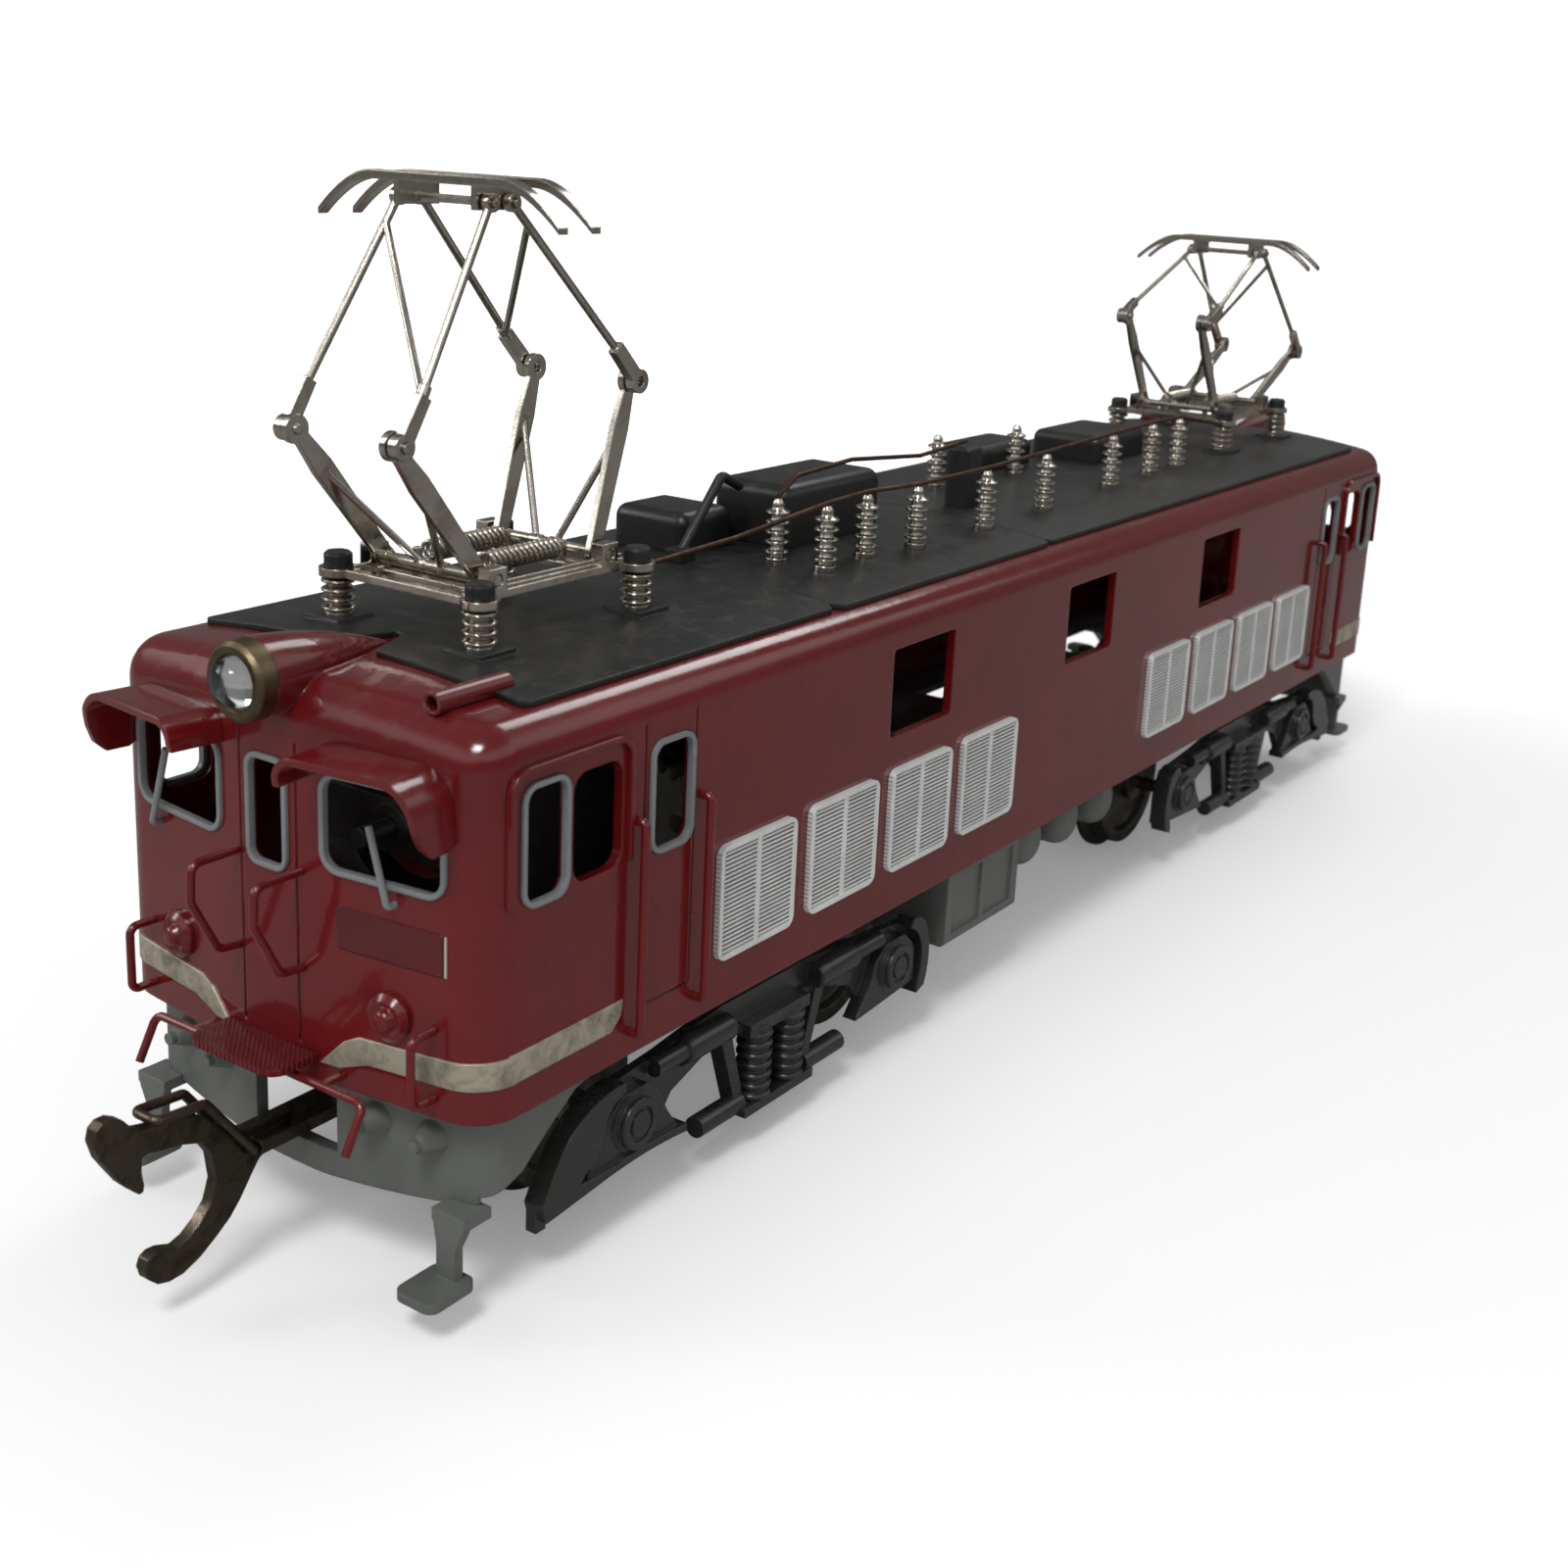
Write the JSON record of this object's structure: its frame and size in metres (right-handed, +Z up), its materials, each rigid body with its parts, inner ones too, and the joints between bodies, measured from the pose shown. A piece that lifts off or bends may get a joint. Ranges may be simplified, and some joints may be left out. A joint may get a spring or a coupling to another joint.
{
  "type": "model electric locomotive",
  "caption": "Small-scale four-axle electric locomotive with red metal body, two raised folding pantographs, roof insulators, louvred sides, sprung bogies and hook couplers.",
  "frame": {"origin": "middle of the engine at rail-top level, between the wheels; the wheel flanges hang 0.9 mm below it", "axes": "+Y towards the rear end along the track, -Y is the front end, +X is the engine's left side looking forward, +Z up"},
  "size_m": [0.0376, 0.196, 0.0723],
  "materials": {
    "red_paint": "deep red gloss enamel",
    "roof_black": "satin black",
    "frame_grey": "light grey paint",
    "underframe_grey": "semi-gloss mid grey",
    "louvre_silver": "dull silver paint",
    "trim_nickel": "tarnished nickel",
    "bright_nickel": "warm bright nickel",
    "lamp_bronze": "darkened bronze",
    "lamp_mirror": "polished",
    "lamp_clear": "clear",
    "wire_brown": "dark lacquered wire",
    "bogie_black": "gloss black",
    "wheel_steel": "blackened nickel",
    "motor_steel": "laminated steel",
    "coil_red": "enamelled copper winding",
    "gear_plastic": "moulded",
    "worm_brass": "turned",
    "screw_steel": "plated",
    "coupler_bronze": "blackened bronze"
  },
  "bodies": {
    "engine_body": {"body_shell": "red_paint", "roof_plate_front": "roof_black", "roof_plate_centre": "roof_black", "roof_plate_rear": "roof_black", "end_window_frames": "frame_grey", "side_window_frames": "frame_grey", "louvre_panels": "louvre_silver", "sun_visors": "red_paint", "end_handrails": "red_paint", "door_handrails": "red_paint", "rain_strips": "red_paint", "headlight_rims": "lamp_bronze", "headlight_reflectors": "lamp_mirror", "headlight_lenses": "lamp_clear", "tail_lamps": "red_paint", "wipers": "frame_grey", "tread_plates": "red_paint", "uncoupling_levers": "red_paint", "whistle_covers": "red_paint", "trim_bands": "trim_nickel", "floor_plate": "underframe_grey", "pilots": "underframe_grey", "corner_steps": "underframe_grey", "battery_boxes": "underframe_grey", "air_tanks": "underframe_grey", "roof_equipment": "roof_black", "post_insulators": "bright_nickel", "bus_wires": "wire_brown", "pantograph_insulators": "bright_nickel", "insulator_caps": "roof_black", "pantograph_bases": "bright_nickel", "pantograph_springs": "bright_nickel", "pivot_screws": "screw_steel"},
    "front_pantograph_lower_a": {"front_pantograph_lower_a": "bright_nickel"},
    "front_pantograph_lower_b": {"front_pantograph_lower_b": "bright_nickel"},
    "front_pantograph_upper_a": {"front_pantograph_upper_a": "bright_nickel"},
    "front_pantograph_upper_b": {"front_pantograph_upper_b": "bright_nickel"},
    "front_pantograph_head": {"front_pantograph_head": "bright_nickel"},
    "rear_pantograph_lower_a": {"rear_pantograph_lower_a": "bright_nickel"},
    "rear_pantograph_lower_b": {"rear_pantograph_lower_b": "bright_nickel"},
    "rear_pantograph_upper_a": {"rear_pantograph_upper_a": "bright_nickel"},
    "rear_pantograph_upper_b": {"rear_pantograph_upper_b": "bright_nickel"},
    "rear_pantograph_head": {"rear_pantograph_head": "bright_nickel"},
    "front_bogie": {"front_bogie_frame": "bogie_black", "front_bogie_sides": "bogie_black", "motor_frame": "motor_steel"},
    "rear_bogie": {"rear_bogie_frame": "bogie_black", "rear_bogie_sides": "bogie_black"},
    "armature": {"motor_armature": "motor_steel", "motor_coils": "coil_red"},
    "intermediate_gear": {"intermediate_gear": "gear_plastic"},
    "worm_shaft": {"worm_shaft": "worm_brass"},
    "wheelset_1": {"wheelset_1": "wheel_steel"},
    "wheelset_2": {"wheelset_2": "wheel_steel"},
    "wheelset_3": {"wheelset_3": "wheel_steel"},
    "wheelset_4": {"wheelset_4": "wheel_steel"},
    "front_coupler": {"front_coupler": "coupler_bronze"},
    "front_coupler_bail": {"front_coupler_bail": "coupler_bronze"},
    "rear_coupler": {"rear_coupler": "coupler_bronze"},
    "rear_coupler_bail": {"rear_coupler_bail": "coupler_bronze"}
  },
  "joints": [
    {"name": "front_pantograph_fold", "type": "hinge", "parent": "engine_body", "child": "front_pantograph_lower_a", "pos_m": [0, -0.06856, 0.0451], "axis": [1, 0, 0], "range_deg": [0, 42.4]},
    {"name": "front_pantograph_lower_b_turn", "type": "hinge", "parent": "engine_body", "child": "front_pantograph_lower_b", "pos_m": [0, -0.05684, 0.0451], "axis": [1, 0, 0], "range_deg": [-65.35, 0.05]},
    {"name": "front_pantograph_upper_a_turn", "type": "hinge", "parent": "front_pantograph_lower_a", "child": "front_pantograph_upper_a", "pos_m": [0, -0.07661, 0.05483], "axis": [1, 0, 0], "range_deg": [-94.15, 0.05]},
    {"name": "front_pantograph_head_tilt", "type": "hinge", "parent": "front_pantograph_upper_a", "child": "front_pantograph_head", "pos_m": [0, -0.06746, 0.06969], "axis": [1, 0, 0], "range_deg": [-0.05, 51.75]},
    {"name": "front_pantograph_upper_b_turn", "type": "hinge", "parent": "front_pantograph_head", "child": "front_pantograph_upper_b", "pos_m": [0, -0.06539, 0.06969], "axis": [1, 0, 0], "range_deg": [-0.05, 39.09]},
    {"name": "rear_pantograph_fold", "type": "hinge", "parent": "engine_body", "child": "rear_pantograph_lower_a", "pos_m": [0, 0.05684, 0.0451], "axis": [1, 0, 0], "range_deg": [0, 48.6]},
    {"name": "rear_pantograph_lower_b_turn", "type": "hinge", "parent": "engine_body", "child": "rear_pantograph_lower_b", "pos_m": [0, 0.06856, 0.0451], "axis": [1, 0, 0], "range_deg": [-17.15, 0.05]},
    {"name": "rear_pantograph_upper_a_turn", "type": "hinge", "parent": "rear_pantograph_lower_a", "child": "rear_pantograph_upper_a", "pos_m": [0, 0.04989, 0.05565], "axis": [1, 0, 0], "range_deg": [-66.69, 0.05]},
    {"name": "rear_pantograph_head_tilt", "type": "hinge", "parent": "rear_pantograph_upper_a", "child": "rear_pantograph_head", "pos_m": [0, 0.06574, 0.06295], "axis": [1, 0, 0], "range_deg": [-0.05, 18.09]},
    {"name": "rear_pantograph_upper_b_turn", "type": "hinge", "parent": "rear_pantograph_head", "child": "rear_pantograph_upper_b", "pos_m": [0, 0.06781, 0.06295], "axis": [1, 0, 0], "range_deg": [-0.05, 39.06]},
    {"name": "front_bogie_swivel", "type": "hinge", "parent": "engine_body", "child": "front_bogie", "pos_m": [0, -0.0475, 0.013], "axis": [0, 0, 1], "range_deg": [-4, 4]},
    {"name": "rear_bogie_swivel", "type": "hinge", "parent": "engine_body", "child": "rear_bogie", "pos_m": [0, 0.0475, 0.013], "axis": [0, 0, 1], "range_deg": [-4, 4]},
    {"name": "motor_spin", "type": "hinge", "parent": "front_bogie", "child": "armature", "pos_m": [0, -0.0475, 0.0272], "axis": [0, 1, 0], "continuous": true},
    {"name": "intermediate_gear_spin", "type": "hinge", "parent": "front_bogie", "child": "intermediate_gear", "pos_m": [0, -0.0475, 0.0192], "axis": [0, 1, 0], "continuous": true},
    {"name": "worm_shaft_spin", "type": "hinge", "parent": "front_bogie", "child": "worm_shaft", "pos_m": [0, -0.0475, 0.0112], "axis": [0, 1, 0], "continuous": true},
    {"name": "wheelset_1_spin", "type": "hinge", "parent": "front_bogie", "child": "wheelset_1", "pos_m": [0, -0.065, 0.007], "axis": [1, 0, 0], "continuous": true},
    {"name": "wheelset_2_spin", "type": "hinge", "parent": "front_bogie", "child": "wheelset_2", "pos_m": [0, -0.03, 0.007], "axis": [1, 0, 0], "continuous": true},
    {"name": "wheelset_3_spin", "type": "hinge", "parent": "rear_bogie", "child": "wheelset_3", "pos_m": [0, 0.03, 0.007], "axis": [1, 0, 0], "continuous": true},
    {"name": "wheelset_4_spin", "type": "hinge", "parent": "rear_bogie", "child": "wheelset_4", "pos_m": [0, 0.065, 0.007], "axis": [1, 0, 0], "continuous": true},
    {"name": "front_coupler_swing", "type": "hinge", "parent": "engine_body", "child": "front_coupler", "pos_m": [0, -0.0765, 0.0086], "axis": [0, 0, 1], "range_deg": [-12, 12]},
    {"name": "rear_coupler_swing", "type": "hinge", "parent": "engine_body", "child": "rear_coupler", "pos_m": [0, 0.0765, 0.0086], "axis": [0, 0, 1], "range_deg": [-12, 12]},
    {"name": "front_coupler_bail_lift", "type": "hinge", "parent": "front_coupler", "child": "front_coupler_bail", "pos_m": [0, -0.0863, 0.00855], "axis": [-1, 0, 0], "range_deg": [0, 22]},
    {"name": "rear_coupler_bail_lift", "type": "hinge", "parent": "rear_coupler", "child": "rear_coupler_bail", "pos_m": [0, 0.0863, 0.00855], "axis": [1, 0, 0], "range_deg": [0, 22]}
  ],
  "couplings": [
    {"joint": "front_pantograph_lower_b_turn", "follows": "front_pantograph_fold", "ratio": -1.5401},
    {"joint": "front_pantograph_upper_a_turn", "follows": "front_pantograph_fold", "ratio": -2.2193},
    {"joint": "front_pantograph_head_tilt", "follows": "front_pantograph_fold", "ratio": 1.2193},
    {"joint": "front_pantograph_upper_b_turn", "follows": "front_pantograph_fold", "ratio": 0.9207},
    {"joint": "rear_pantograph_lower_b_turn", "follows": "rear_pantograph_fold", "ratio": -0.35185},
    {"joint": "rear_pantograph_upper_a_turn", "follows": "rear_pantograph_fold", "ratio": -1.3712},
    {"joint": "rear_pantograph_head_tilt", "follows": "rear_pantograph_fold", "ratio": 0.37121},
    {"joint": "rear_pantograph_upper_b_turn", "follows": "rear_pantograph_fold", "ratio": 0.80258},
    {"joint": "intermediate_gear_spin", "follows": "motor_spin", "ratio": -0.42857},
    {"joint": "worm_shaft_spin", "follows": "motor_spin", "ratio": 1},
    {"joint": "wheelset_1_spin", "follows": "motor_spin", "ratio": 0.071429},
    {"joint": "wheelset_2_spin", "follows": "motor_spin", "ratio": 0.071429}
  ]
}
